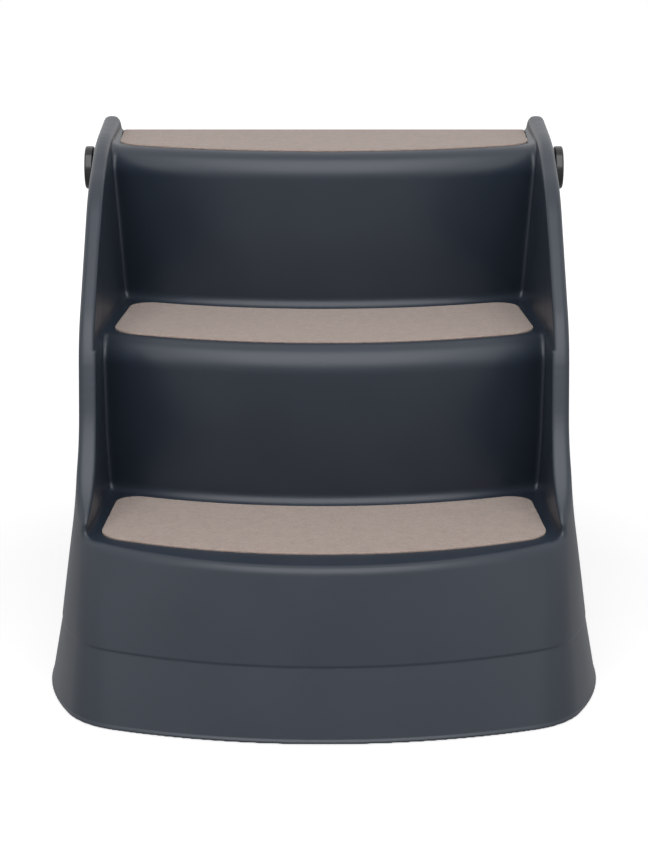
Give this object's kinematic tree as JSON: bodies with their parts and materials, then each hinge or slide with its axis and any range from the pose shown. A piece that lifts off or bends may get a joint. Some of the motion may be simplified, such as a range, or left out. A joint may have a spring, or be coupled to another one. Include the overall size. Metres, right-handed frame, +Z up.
{
  "type": "pet stairs",
  "caption": "Folding pet stairs: curved moulded steps between rolled side rails, felt tread pads, flared skirt, and a hinged rear support turning on round side knobs.",
  "frame": {"origin": "on the floor, at the centre of the footprint of the opened stairs", "axes": "+Z up, -Y towards the person or pet who faces the steps, +X to the right of someone who looks at the steps"},
  "size_m": [0.52, 0.62, 0.4913],
  "materials": {
    "moulded_shell": "satin anthracite polypropylene with a fine spark-eroded grain",
    "felt": "short-pile needle felt, taupe",
    "tape": "thin double-sided adhesive tape",
    "black_knob": "polished black plastic",
    "nylon": "natural nylon",
    "steel": "zinc-plated steel",
    "rubber": "soft black rubber"
  },
  "bodies": {
    "stairs": {"stair_shell": "moulded_shell", "tread_pad_lower": "felt", "tread_pad_middle": "felt", "tread_pad_upper": "felt", "pad_tape_lower": "tape", "pad_tape_middle": "tape", "pad_tape_upper": "tape", "hinge_bush_left": "nylon", "hinge_bush_right": "nylon", "foot_front_left": "rubber", "foot_front_right": "rubber", "foot_side_left": "rubber", "foot_side_right": "rubber"},
    "support": {"rear_support": "moulded_shell", "hinge_knob_left": "black_knob", "hinge_knob_right": "black_knob", "thrust_washer_left": "nylon", "thrust_washer_right": "nylon", "screw_washer_left": "steel", "screw_washer_right": "steel", "hinge_screw_left": "steel", "hinge_screw_right": "steel", "support_foot_left": "rubber", "support_foot_right": "rubber"}
  },
  "joints": [
    {"name": "rear_support_fold", "type": "hinge", "parent": "stairs", "child": "support", "pos_m": [0, 0.19, 0.44], "axis": [-1, 0, 0], "range_deg": [0, 32]}
  ]
}
